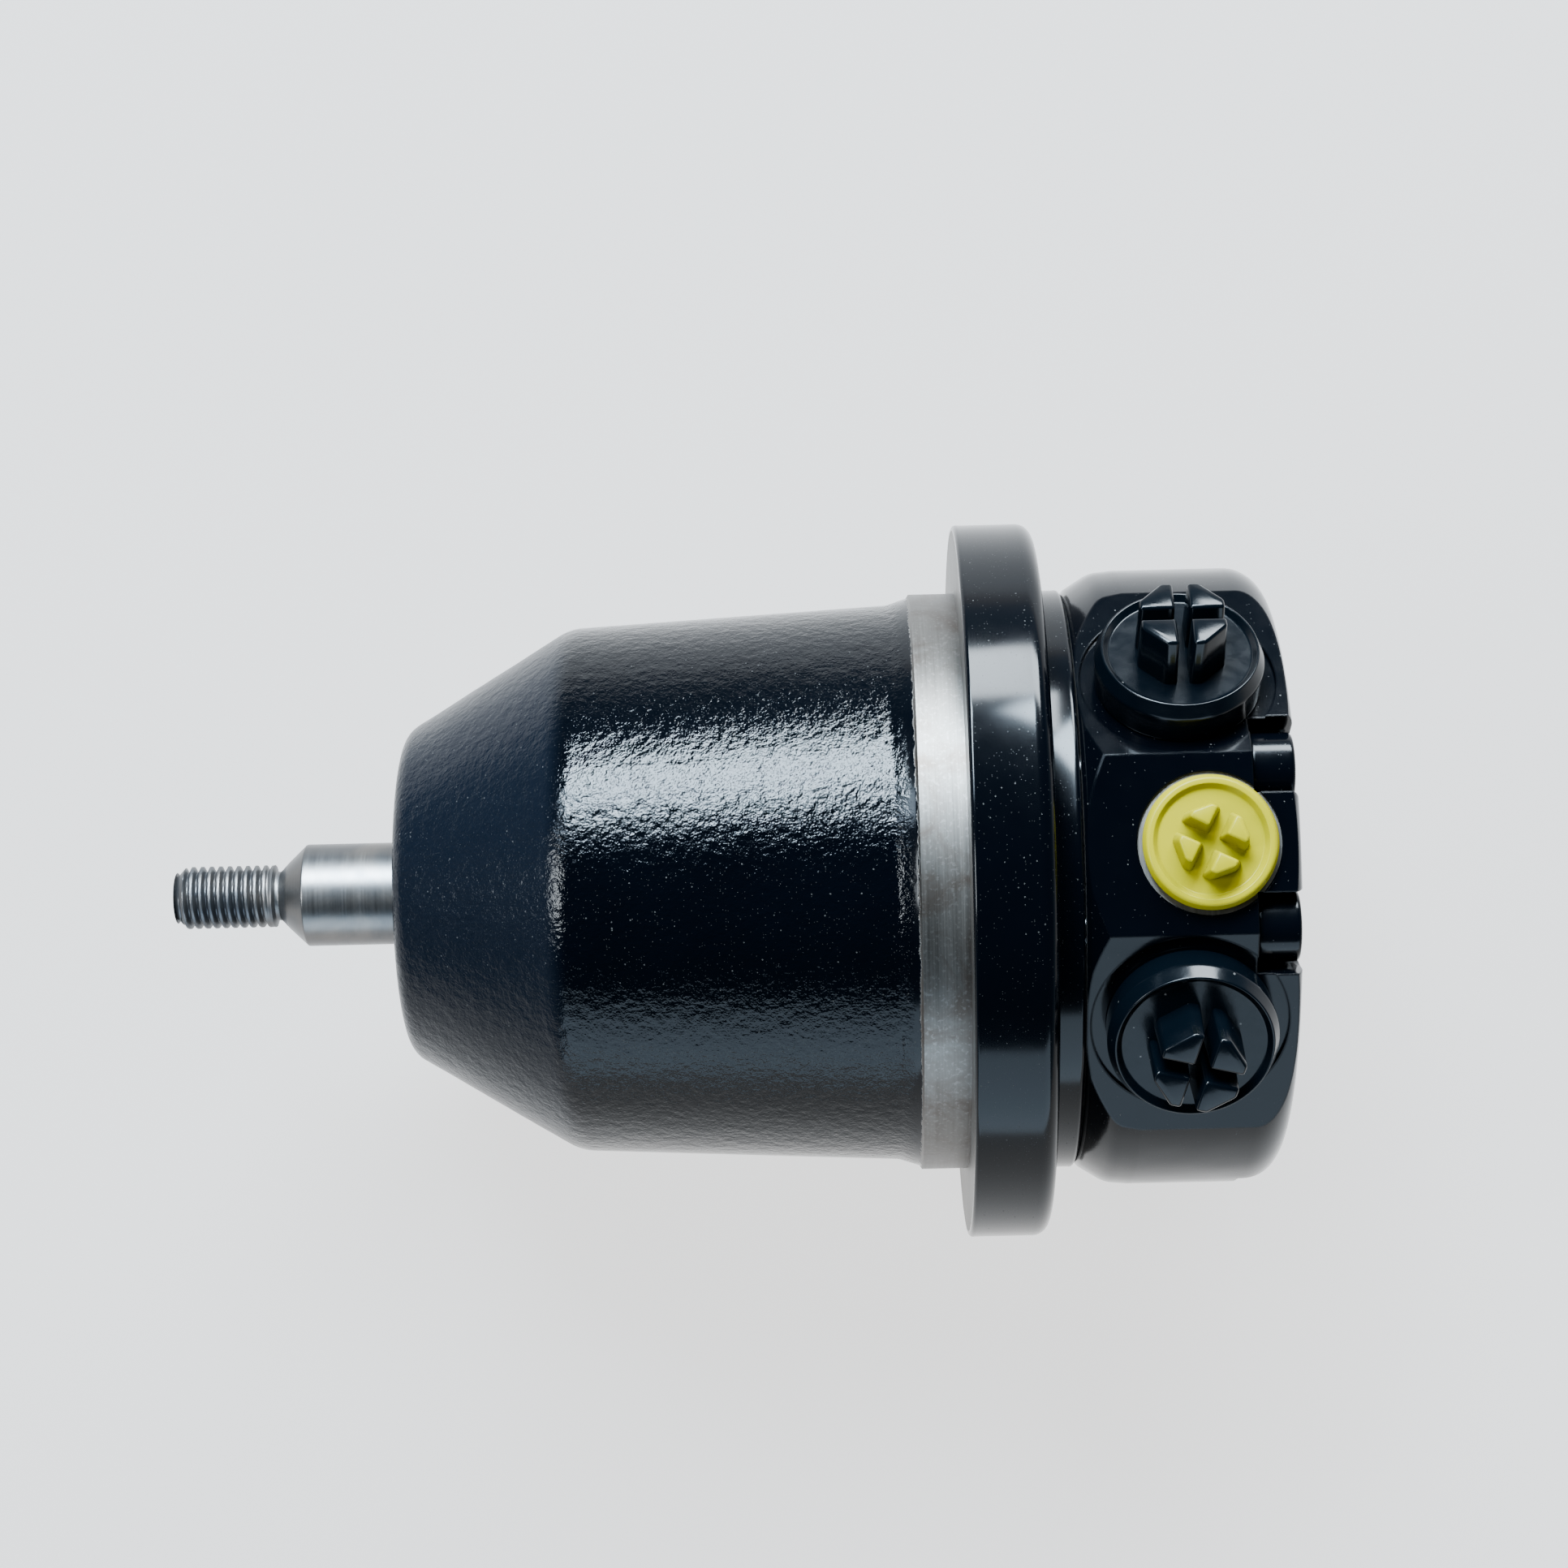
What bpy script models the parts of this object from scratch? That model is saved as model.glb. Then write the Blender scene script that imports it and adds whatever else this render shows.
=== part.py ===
"""Axial piston hydraulic motor, fixed displacement, with a round plug-in flange.

Frame: +X runs along the shaft towards the port plate, the shaft end is at -X, and +Z is the drain port.
The origin is the centre of the flange's mounting face, on the shaft axis. Lengths below are in millimetres
and are turned into metres where the geometry is made.
"""

import math

import bmesh
import bpy
from mathutils import Matrix, Vector

MM = 0.001

# ---- housing, outside -------------------------------------------------------------------------------------
NOSE_X = -105.3          # front face of the nose
NOSE_R = 30.0            # outline of the nose face
CONE_END_X = -73.3       # end of the conical nose
CONE_END_R = 50.3
BODY_END_X = -12.7       # end of the drafted body
BODY_END_R = 53.1
PILOT_R = 55.0           # machined pilot ring
PILOT_X = -8.5
FLANGE_R = 68.0
FLANGE_T = 14.9
STEP_R = 55.2            # step ring behind the flange
JOINT_X = 20.1           # joint face between housing and port plate
# ---- housing, inside --------------------------------------------------------------------------------------
SEAL_BORE_R = 20.0
SEAL_END_X = -94.5
BEARING_BORE_R = 26.0
BEARING_X = (-92.0, -76.0)
CAVITY_R = 40.0
# ---- port plate -------------------------------------------------------------------------------------------
GAP = 0.3                # clearance between solids that touch on the real motor
COVER_R = 58.6
REAR_X = 58.6
PORT_ANGLE = 34.8        # degrees from +Z
PORT_X = 38.7
PORT_FACE = 54.2         # distance of the milled port faces from the axis
PORT_SPOT_R = 17.6
DRAIN_X = 42.2
PAD_Z = 54.8
SPIGOT_X = 14.0
# ---- cover screws, M8 ------------------------------------------------------------------------------------
SCREW_R = 48.1
SCREW_ANGLES = (16.9, 90.0, 163.1, -163.1, -90.0, -16.9)
SCREW_SEAT_X = 50.3
HEAD_R = 6.5
HEAD_L = 7.9
# ---- rotating group --------------------------------------------------------------------------------------
SWASH_DEG = 15.0
SWASH_X = -63.0          # centre of the inclined face
PITCH_R = 25.5           # pistons' pitch circle
PISTONS = 9
PISTON_R = 6.1
BLOCK_X = (-24.0, 9.7)
BLOCK_R = 36.5
HALF_STROKE = PITCH_R * math.tan(math.radians(SWASH_DEG))
SOLE_X = -46.7           # slipper soles at mid-stroke
SHAFT_R = 9.8
THREAD_R = 6.0
THREAD_PITCH = 1.75

for old in list(bpy.data.objects):
    bpy.data.objects.remove(old, do_unlink=True)

scene = bpy.context.scene
parts = bpy.data.collections.new("hydraulic_motor")
cutters = bpy.data.collections.new("cutters")
scene.collection.children.link(parts)
scene.collection.children.link(cutters)
cutters.hide_render = True


# ---- materials -------------------------------------------------------------------------------------------
def material(name, colour, roughness, metallic):
    made = bpy.data.materials.get(name)
    if made:
        return made
    made = bpy.data.materials.new(name)
    made.use_nodes = True
    shader = made.node_tree.nodes["Principled BSDF"]
    shader.inputs["Base Color"].default_value = (*colour, 1.0)
    shader.inputs["Roughness"].default_value = roughness
    shader.inputs["Metallic"].default_value = metallic
    return made


PAINT = material("black_paint", (0.012, 0.013, 0.015), 0.28, 0.0)
SHAFT_STEEL = material("ground_steel", (0.56, 0.55, 0.53), 0.25, 1.0)
BEARING_STEEL = material("bearing_steel", (0.62, 0.62, 0.64), 0.2, 1.0)
SCREW_STEEL = material("painted_screw", (0.02, 0.02, 0.022), 0.35, 0.0)
IRON = material("machined_iron", (0.3, 0.29, 0.28), 0.45, 1.0)
BRONZE = material("bronze", (0.65, 0.42, 0.18), 0.35, 1.0)
RUBBER = material("rubber", (0.02, 0.02, 0.02), 0.7, 0.0)
BLACK_PLASTIC = material("black_plastic", (0.015, 0.016, 0.018), 0.35, 0.0)
YELLOW_PLASTIC = material("yellow_plastic", (0.78, 0.72, 0.06), 0.4, 0.0)


# ---- helpers ---------------------------------------------------------------------------------------------
def link(obj, mat=None, cutter=False):
    (cutters if cutter else parts).objects.link(obj)
    if cutter:
        obj.hide_render = True
        obj.display_type = "WIRE"
    if mat:
        obj.data.materials.append(mat)
    return obj


def along(direction, origin=(0.0, 0.0, 0.0), side=(0.0, 1.0, 0.0)):
    """Matrix that takes local +Z to direction and keeps local +X close to side."""
    z = Vector(direction).normalized()
    x = Vector(side)
    x = (x - z * x.dot(z)).normalized()
    y = z.cross(x)
    turn = Matrix((x, y, z)).transposed().to_4x4()
    return Matrix.Translation(Vector(origin) * MM) @ turn


X_AXIS = along((1, 0, 0), side=(0, 0, 1))


def turned(name, outline, steps, mat=None, place=X_AXIS, cutter=False):
    """Turned solid: outline is a loop of (position along the axis, radius), or a line that starts and ends at
    radius 0. It is put in the order that makes the Screw modifier's faces point out."""
    area = 0.0
    for (a, ra), (b, rb) in zip(outline, outline[1:] + outline[:1]):
        area += a * rb - b * ra
    if area < 0:
        outline = outline[::-1]
    open_line = outline[0][1] == 0.0 and outline[-1][1] == 0.0
    mesh = bpy.data.meshes.new(name)
    form = bmesh.new()
    points = [form.verts.new((r * MM, 0.0, a * MM)) for a, r in outline]
    for first, second in zip(points, points[1:]):
        form.edges.new((first, second))
    if not open_line:
        form.edges.new((points[-1], points[0]))
    form.to_mesh(mesh)
    form.free()
    obj = bpy.data.objects.new(name, mesh)
    obj.matrix_world = place
    link(obj, mat, cutter)
    screw = obj.modifiers.new("Turn", "SCREW")
    screw.axis = "Z"
    screw.angle = 2 * math.pi
    screw.steps = screw.render_steps = steps
    screw.use_merge_vertices = True
    screw.merge_threshold = 0.00001
    screw.use_smooth_shade = True
    return obj


def from_bmesh(name, form, mat, place, cutter):
    mesh = bpy.data.meshes.new(name)
    bmesh.ops.recalc_face_normals(form, faces=form.faces)
    form.to_mesh(mesh)
    form.free()
    obj = bpy.data.objects.new(name, mesh)
    obj.matrix_world = place
    return link(obj, mat, cutter)


def cylinder(name, radius, low, high, place, sides=24, mat=None, cutter=True, top_radius=None, turn=0.0):
    """Cylinder, cone or prism on the local Z axis of place, from low to high."""
    form = bmesh.new()
    top = radius if top_radius is None else top_radius
    bmesh.ops.create_cone(form, cap_ends=True, segments=sides, radius1=radius * MM, radius2=top * MM,
                          depth=(high - low) * MM,
                          matrix=Matrix.Translation((0, 0, (low + high) * 0.5 * MM)) @ Matrix.Rotation(turn, 4, "Z"))
    return from_bmesh(name, form, mat, place, cutter)


def block(name, low, high, place=Matrix.Identity(4), mat=None, cutter=True):
    """Box between two corners in the local frame of place."""
    form = bmesh.new()
    size = [(b - a) * MM for a, b in zip(low, high)]
    middle = [(a + b) * 0.5 * MM for a, b in zip(low, high)]
    bmesh.ops.create_cube(form, size=1.0, matrix=Matrix.Translation(middle) @ Matrix.Diagonal((*size, 1.0)))
    return from_bmesh(name, form, mat, place, cutter)


def boolean(target, tool, operation="DIFFERENCE"):
    made = target.modifiers.new(operation.title() + "_" + tool.name, "BOOLEAN")
    made.operation = operation
    made.solver = "EXACT"
    made.object = tool
    return target


def radial(degrees, x, side=(1, 0, 0)):
    """Frame on the axis at x, with local +Z pointing out at an angle from +Z towards +Y."""
    a = math.radians(degrees)
    return along((0, math.sin(a), math.cos(a)), origin=(x, 0, 0), side=side)


def parallel(degrees, radius, x=0.0):
    """Frame parallel to the shaft, local +Z along +X, at a radius and an angle from +Z towards +Y."""
    a = math.radians(degrees)
    spot = (0, math.sin(a), math.cos(a))
    return along((1, 0, 0), origin=(x, radius * spot[1], radius * spot[2]), side=spot)


def arc(centre, radius, start, end, count):
    """Points of an arc in (axis, radius) coordinates, angles in degrees from the axis direction."""
    found = []
    for step in range(count + 1):
        a = math.radians(start + (end - start) * step / count)
        found.append((centre[0] + radius * math.cos(a), centre[1] + radius * math.sin(a)))
    return found


def fixed(name):
    """Empty that marks a joint axis or a body origin."""
    empty = bpy.data.objects.new(name, None)
    empty.empty_display_size = 0.02
    parts.objects.link(empty)
    return empty


def put_under(obj, parent):
    obj.parent = parent
    obj.matrix_parent_inverse = parent.matrix_world.inverted()


# ---- housing ---------------------------------------------------------------------------------------------
housing_outline = [
    (NOSE_X, SEAL_BORE_R + 1.0),
    (NOSE_X, NOSE_R - 4.2),
    (NOSE_X + 0.6, NOSE_R - 1.9),
    (NOSE_X + 2.0, NOSE_R + 0.2),
    (NOSE_X + 4.2, NOSE_R + 2.3),
    (CONE_END_X - 5.6, CONE_END_R - 4.3),
    (CONE_END_X - 2.6, CONE_END_R - 2.0),
    (CONE_END_X + 0.6, CONE_END_R - 0.55),
    (CONE_END_X + 4.5, CONE_END_R + 0.1),
    (BODY_END_X, BODY_END_R),
    (PILOT_X - 0.2, PILOT_R - 0.5),
    (PILOT_X + 0.4, PILOT_R),
    (0.0, PILOT_R),
    (0.0, FLANGE_R - 0.7),
    (0.7, FLANGE_R),
    (FLANGE_T - 2.7, FLANGE_R),
    (FLANGE_T - 0.8, FLANGE_R - 1.8),
    (FLANGE_T, FLANGE_R - 5.6),
    (FLANGE_T, STEP_R),
    (JOINT_X - 0.7, STEP_R),
    (JOINT_X, STEP_R - 0.7),
    (JOINT_X, CAVITY_R),
    (BEARING_X[1], CAVITY_R),
    (BEARING_X[1], BEARING_BORE_R),
    (BEARING_X[0], BEARING_BORE_R),
    (BEARING_X[0], 16.0),
    (SEAL_END_X, 16.0),
    (SEAL_END_X, SEAL_BORE_R),
    (-102.7, SEAL_BORE_R),
    (-102.7, SEAL_BORE_R + 1.3),
    (-104.0, SEAL_BORE_R + 1.3),
    (-104.0, SEAL_BORE_R),
    (NOSE_X + 1.0, SEAL_BORE_R),
]
housing = turned("housing", housing_outline, 44, PAINT)
for number, degrees in enumerate(SCREW_ANGLES, 1):
    hole = cylinder(f"cut_tapped_hole_{number}", 4.4, 3.5, JOINT_X + 2.0, parallel(degrees, SCREW_R), sides=8)
    boolean(housing, hole)

# ---- port plate ------------------------------------------------------------------------------------------
front = JOINT_X + GAP
plate_outline = [
    (SPIGOT_X, 19.0),
    (SPIGOT_X, CAVITY_R - 0.8),
    (SPIGOT_X + 0.5, CAVITY_R - GAP),
    (16.2, CAVITY_R - GAP),
    (16.2, 37.0),
    (18.8, 37.0),
    (18.8, CAVITY_R - GAP),
    (front, CAVITY_R - GAP),
    (front, STEP_R - 0.9),
    (front + 0.8, STEP_R),
    (front + 5.0, 57.9),
    (front + 7.2, 58.45),
    (front + 9.0, COVER_R),
    (REAR_X - 6.4, COVER_R),
    (REAR_X - 3.6, COVER_R - 0.9),
    (REAR_X - 1.6, COVER_R - 2.8),
    (REAR_X - 0.4, COVER_R - 5.2),
    (REAR_X, COVER_R - 7.6),
    (REAR_X, 0.0),
    (46.0, 0.0),
    (46.0, 19.0),
]
plate_outline = [p for p in plate_outline if p != (46.0, 19.0)]
plate_outline = [(REAR_X, 0.0)] + plate_outline[:plate_outline.index((REAR_X, 0.0))][::-1] + [(46.0, 19.0), (46.0, 0.0)]
port_plate = turned("port_plate", plate_outline, 44, PAINT)

pad_box = block("cut_drain_pad", (10, -60, PAD_Z), (80, 60, 80))
boolean(port_plate, pad_box)
for letter, sign in (("a", 1), ("b", -1)):
    place = radial(sign * PORT_ANGLE, PORT_X)
    boolean(port_plate, block(f"cut_port_{letter}_face", (-30, -60, PORT_FACE), (40, 60, 80), place))
    boolean(port_plate, cylinder(f"cut_port_{letter}_spot", PORT_SPOT_R, PORT_FACE - 0.8, 70, place, sides=28))
    boolean(port_plate, cylinder(f"cut_port_{letter}_bore", 9.0, 38.0, 60, place, sides=12))
    boolean(port_plate, cylinder(f"cut_port_{letter}_way", 4.6, 25.0, 40.0, place, sides=8))
drain_place = radial(0.0, DRAIN_X)
boolean(port_plate, cylinder("cut_drain_spot", 12.7, PAD_Z - 0.5, 70, drain_place, sides=24))
boolean(port_plate, cylinder("cut_drain_bore", 8.0, 41.0, 60, drain_place, sides=12))
boolean(port_plate, cylinder("cut_drain_way", 2.6, 15.0, 43.0, drain_place, sides=8))

kidney_ring = turned("cut_kidney_ring", [(8.0, 22.0), (8.0, 29.0), (41.0, 29.0), (41.0, 22.0)], 24, cutter=True)
kidney_web = block("cut_kidney_web", (0, -12.0, -40), (50, 12.0, 40))
boolean(kidney_ring, kidney_web)
boolean(port_plate, kidney_ring)

for number, degrees in enumerate(SCREW_ANGLES, 1):
    place = parallel(degrees, SCREW_R)
    pocket = cylinder(f"cut_screw_pocket_{number}", 7.4, SCREW_SEAT_X, 70, place, sides=16)
    slot = block(f"cut_screw_slot_{number}", (0, -7.2, SCREW_SEAT_X), (20, 7.2, 70), place)
    hole = cylinder(f"cut_screw_hole_{number}", 4.5, 10, 55, place, sides=8)
    for tool in (pocket, slot, hole):
        boolean(port_plate, tool)

# ---- cover screws ----------------------------------------------------------------------------------------
screw_outline = [
    (5.3, 0.0), (5.3, 3.6), (SCREW_SEAT_X + GAP, 3.6),
    (SCREW_SEAT_X + GAP, HEAD_R), (SCREW_SEAT_X + HEAD_L - 0.7, HEAD_R), (SCREW_SEAT_X + HEAD_L, HEAD_R - 0.8),
    (SCREW_SEAT_X + HEAD_L, 0.0),
]
for number, degrees in enumerate(SCREW_ANGLES, 1):
    place = parallel(degrees, SCREW_R)
    screw = turned(f"cover_screw_{number}", screw_outline, 14, SCREW_STEEL, place)
    socket = cylinder(f"cut_hex_socket_{number}", 3.46, SCREW_SEAT_X + HEAD_L - 4.2, SCREW_SEAT_X + HEAD_L + 3, place, sides=6)
    boolean(screw, socket)


# ---- shipping plugs --------------------------------------------------------------------------------------
def plug(name, place, mat, stem_r, stem_low, seat, rim_r, rim, floor, lug_top, lug_r, slot, lug_turn, steps):
    """Pressed cap: a stem, a round cup with a rolled rim, and four lugs left by a cross-shaped slot."""
    outline = [
        (stem_low, 0.0), (stem_low, stem_r - 0.6), (seat, stem_r),
        (seat, rim_r - 0.3), (rim - 1.3, rim_r), (rim - 0.35, rim_r - 0.45), (rim, rim_r - 1.2),
        (rim - 0.3, rim_r - 2.0), (floor, rim_r - 3.0), (floor, 0.0),
    ]
    body = turned(name, outline, steps, mat, place)
    lugs = cylinder("cut_lugs_" + name, lug_r, floor - 0.8, lug_top, place, sides=8, top_radius=lug_r * 0.9,
                    turn=lug_turn + math.pi / 8)
    cross = block("cut_cross_a_" + name, (-slot / 2, -20, floor + 0.02), (slot / 2, 20, lug_top + 5),
                  place @ Matrix.Rotation(lug_turn, 4, "Z"))
    cross_b = block("cut_cross_b_" + name, (-20, -slot / 2, floor + 0.02), (20, slot / 2, lug_top + 5),
                    place @ Matrix.Rotation(lug_turn, 4, "Z"))
    boolean(lugs, cross)
    boolean(lugs, cross_b)
    boolean(body, lugs, "UNION")
    return body


for letter, sign, lug_turn in (("a", 1, 0.0), ("b", -1, math.radians(-15))):
    plug(f"port_{letter}_plug", radial(sign * PORT_ANGLE, PORT_X), BLACK_PLASTIC, 8.6, 42.0, PORT_FACE - 0.8 + GAP,
         15.2, 62.0, 60.9, 71.0, 8.4, 2.4, lug_turn, 26)
plug("drain_plug", drain_place, YELLOW_PLASTIC, 7.6, 44.0, PAD_Z - 0.5 + GAP, 12.0, 58.0, 56.9, 62.0, 6.9, 1.9,
     math.radians(-26.4), 22)

# ---- shaft -----------------------------------------------------------------------------------------------
thread = []
tip = -150.6
crests = 9
thread_start = tip + 1.4
for turn in range(crests):
    x = thread_start + turn * THREAD_PITCH
    thread += [(x, THREAD_R - 0.95), (x + THREAD_PITCH / 2, THREAD_R)]
thread_end = thread_start + crests * THREAD_PITCH
shaft_outline = [(tip, 0.0), (tip, THREAD_R - 1.5)] + thread + [
    (thread_end, THREAD_R - 1.0),
    (-131.4, 4.7), (-130.6, 4.7), (-129.7, 5.4), (-128.7, 6.5), (-125.2, SHAFT_R),
    (-104.2, SHAFT_R), (-103.2, 12.5), (-93.5, 12.5), (-93.2, 14.0), (-76.2, 14.0), (-76.2, 16.0), (-70.0, 16.0),
    (-70.0, 13.0), (11.5, 13.0), (12.5, 12.0), (15.5, 12.0), (15.5, 9.0), (35.5, 9.0), (36.0, 8.5), (36.0, 0.0),
]
turned("drive_shaft", shaft_outline, 16, SHAFT_STEEL)
turned("shaft_seal", [(-102.4, 12.8), (-102.4, 19.7), (-95.0, 19.7), (-95.0, 17.6), (-100.4, 17.6), (-100.4, 15.2),
                      (-96.5, 14.6), (-97.2, 12.8)], 16, RUBBER)
ring = turned("seal_retaining_ring", [(-103.85, 16.5), (-103.85, 21.0), (-102.85, 21.0), (-102.85, 16.5)], 18,
              BEARING_STEEL)
boolean(ring, block("cut_ring_gap", (-110, -3.5, -30), (-95, 3.5, -10)))


# ---- bearings --------------------------------------------------------------------------------------------
def roller_cage(name, low, high, pitch, roller_r, count):
    """Rollers held by two cage rings, as one piece."""
    middle = (pitch - roller_r * 0.55, pitch + roller_r * 0.55)
    cage = turned(name, [(low, middle[0]), (low, middle[1]), (low + 1.4, middle[1]), (low + 1.4, middle[0])], 16,
                  BEARING_STEEL)
    second = turned("cut_ring_" + name, [(high - 1.4, middle[0]), (high - 1.4, middle[1]), (high, middle[1]),
                                         (high, middle[0])], 16, cutter=True)
    for number in range(count):
        roller = cylinder(f"cut_roller_{name}_{number}", roller_r, low + 0.9, high - 0.9,
                          parallel(360.0 * number / count + 7.0, pitch), sides=6)
        boolean(cage, roller, "UNION")
    boolean(cage, second, "UNION")
    return cage


front_low, front_high = BEARING_X[0] + GAP, BEARING_X[1] - GAP
turned("front_bearing_outer_race", [(front_low, 22.3), (front_low, 25.7), (front_high, 25.7), (front_high, 22.3)], 20,
       BEARING_STEEL)
turned("front_bearing_inner_race", [(front_low + 0.4, 14.3), (front_low + 0.4, 17.1), (front_high - 0.4, 17.1),
                                    (front_high - 0.4, 14.3)], 20, BEARING_STEEL)
roller_cage("front_bearing_rollers", front_low + 0.6, front_high - 0.6, 19.7, 2.1, 10)
turned("rear_bearing_outer_race", [(20.0, 15.6), (20.0, 18.7), (33.0, 18.7), (33.0, 15.6)], 20, BEARING_STEEL)
turned("rear_bearing_inner_race", [(20.3, 9.3), (20.3, 11.5), (32.7, 11.5), (32.7, 9.3)], 20, BEARING_STEEL)
roller_cage("rear_bearing_rollers", 20.6, 32.4, 13.55, 1.6, 8)

# ---- swash plate -----------------------------------------------------------------------------------------
swash = turned("swash_plate", [(BEARING_X[1] + GAP, 18.0), (BEARING_X[1] + GAP, CAVITY_R - 0.5), (-45.0, CAVITY_R - 0.5),
                               (-45.0, 18.0)], 24, IRON)
tilt = Matrix.Translation((SWASH_X * MM, 0, 0)) @ Matrix.Rotation(math.radians(SWASH_DEG), 4, "Y")
boolean(swash, block("cut_swash_face", (0, -60, -60), (60, 60, 60), tilt))

# ---- cylinder block --------------------------------------------------------------------------------------
rotor_axis = fixed("rotor_axis")
barrel = turned("cylinder_block", [
    (BLOCK_X[0], 17.4), (BLOCK_X[0], BLOCK_R - 1.0), (BLOCK_X[0] + 1.0, BLOCK_R), (BLOCK_X[1], BLOCK_R),
    (BLOCK_X[1], 13.4), (-6.0, 13.4), (-6.0, 17.4)], 24, IRON)
piston_angles = [360.0 * number / PISTONS for number in range(PISTONS)]
for number, degrees in enumerate(piston_angles, 1):
    place = parallel(degrees, PITCH_R)
    boolean(barrel, cylinder(f"cut_piston_bore_{number}", PISTON_R + 0.6, BLOCK_X[0] - 4, 3.0, place, sides=10))
    boolean(barrel, cylinder(f"cut_piston_port_{number}", 3.4, 0.0, 14.0, place, sides=6))

# ---- pistons and slippers --------------------------------------------------------------------------------
BALL_X = -40.5
BALL_R = 4.0
piston_outline = (
    [(BALL_X - BALL_R, 0.0)]
    + [(BALL_X - BALL_R * math.cos(math.radians(a)), BALL_R * math.sin(math.radians(a))) for a in (45, 90, 138)]
    + [(-35.6, 2.7), (-34.6, PISTON_R), (-5.0, PISTON_R), (-5.0, 0.0)]
)
slipper_outline = [
    (SOLE_X, 0.0), (SOLE_X, 7.8), (SOLE_X + 2.6, 7.8), (SOLE_X + 2.6, 6.0), (-39.4, 6.0),
    (-39.4, 4.5), (BALL_X, 4.6), (BALL_X - 3.2, 3.3), (BALL_X - 4.4, 0.0),
]
for number, degrees in enumerate(piston_angles, 1):
    place = parallel(degrees, PITCH_R)
    axis = fixed(f"piston_{number}_axis")
    axis.matrix_world = place
    bpy.context.view_layer.update()
    piston = turned(f"piston_{number}", piston_outline, 10, BEARING_STEEL, place)
    slipper = turned(f"slipper_{number}", slipper_outline, 10, BRONZE, place)
    put_under(piston, axis)
    put_under(slipper, axis)

plate = turned("retaining_plate", [(-36.8, 17.9), (-36.8, 34.5), (-34.4, 34.5), (-34.4, 17.9)], 20, IRON)
for number, degrees in enumerate(piston_angles, 1):
    boolean(plate, cylinder(f"cut_plate_hole_{number}", 6.75, -45, -25, parallel(degrees, PITCH_R), sides=10))
turned("ball_guide", [(-38.2, 13.4), (-38.2, 16.4), (-36.6, 17.2), (-35.2, 17.5), (-33.4, 17.2), (-31.0, 16.0),
                      (-29.5, 13.4)], 18, IRON)

# ---- block spring ----------------------------------------------------------------------------------------
turned("spring_front_washer", [(-23.8, 13.4), (-23.8, 17.1), (-22.3, 17.1), (-22.3, 13.4)], 16, BEARING_STEEL)
turned("spring_rear_washer", [(-7.8, 13.4), (-7.8, 17.1), (-6.3, 17.1), (-6.3, 13.4)], 16, BEARING_STEEL)
coil = bpy.data.curves.new("block_spring", "CURVE")
coil.dimensions = "3D"
coil.bevel_depth = 1.05 * MM
coil.bevel_resolution = 1
coil.use_fill_caps = True
line = coil.splines.new("POLY")
turns, each = 3, 12
line.points.add(turns * each)
for number in range(turns * each + 1):
    a = 2 * math.pi * number / each
    x = -20.8 + (11.5) * number / (turns * each)
    line.points[number].co = (x * MM, 15.4 * MM * math.sin(a), 15.4 * MM * math.cos(a), 1.0)
spring = bpy.data.objects.new("block_spring", coil)
link(spring, BEARING_STEEL)

# ---- valve plate and static seal -------------------------------------------------------------------------
valve = turned("valve_plate", [(10.0, 14.0), (10.0, 35.5), (13.7, 35.5), (13.7, 14.0)], 24, BRONZE)
valve_kidneys = turned("cut_valve_kidneys", [(8.0, 22.5), (8.0, 28.5), (16.0, 28.5), (16.0, 22.5)], 24, cutter=True)
boolean(valve_kidneys, block("cut_valve_web", (0, -12.5, -40), (50, 12.5, 40)))
boolean(valve, valve_kidneys)
o_ring_form = [(17.5 + 1.15 * math.cos(2 * math.pi * k / 6), 38.5 + 1.15 * math.sin(2 * math.pi * k / 6)) for k in range(6)]
turned("joint_o_ring", o_ring_form, 24, RUBBER)

for name in ("cylinder_block", "drive_shaft", "retaining_plate", "ball_guide", "spring_front_washer",
             "spring_rear_washer", "block_spring", "front_bearing_inner_race", "rear_bearing_inner_race"):
    put_under(bpy.data.objects[name], rotor_axis)
for number in range(1, PISTONS + 1):
    put_under(bpy.data.objects[f"piston_{number}_axis"], rotor_axis)
for obj in parts.objects:
    if obj.type == "MESH":
        obj.data.shade_smooth()
        obj.data.set_sharp_from_angle(angle=math.radians(40))
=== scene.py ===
"""Looks of the hydraulic motor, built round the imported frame. Lengths in millimetres unless a name says otherwise."""

import math

import bmesh
import bpy
from mathutils import Matrix, Vector, noise


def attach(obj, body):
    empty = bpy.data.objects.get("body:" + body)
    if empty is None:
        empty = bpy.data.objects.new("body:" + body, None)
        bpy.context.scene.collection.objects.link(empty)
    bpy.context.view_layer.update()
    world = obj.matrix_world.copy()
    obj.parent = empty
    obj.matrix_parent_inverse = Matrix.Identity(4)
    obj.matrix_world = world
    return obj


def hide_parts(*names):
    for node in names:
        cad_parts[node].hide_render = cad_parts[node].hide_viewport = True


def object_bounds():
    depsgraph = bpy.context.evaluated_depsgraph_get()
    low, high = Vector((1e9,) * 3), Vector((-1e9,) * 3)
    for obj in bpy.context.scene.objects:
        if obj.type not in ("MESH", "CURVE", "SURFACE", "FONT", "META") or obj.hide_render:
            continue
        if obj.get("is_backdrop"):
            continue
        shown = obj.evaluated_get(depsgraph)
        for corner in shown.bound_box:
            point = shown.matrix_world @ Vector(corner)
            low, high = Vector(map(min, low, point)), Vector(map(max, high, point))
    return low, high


MM = 0.001
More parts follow.
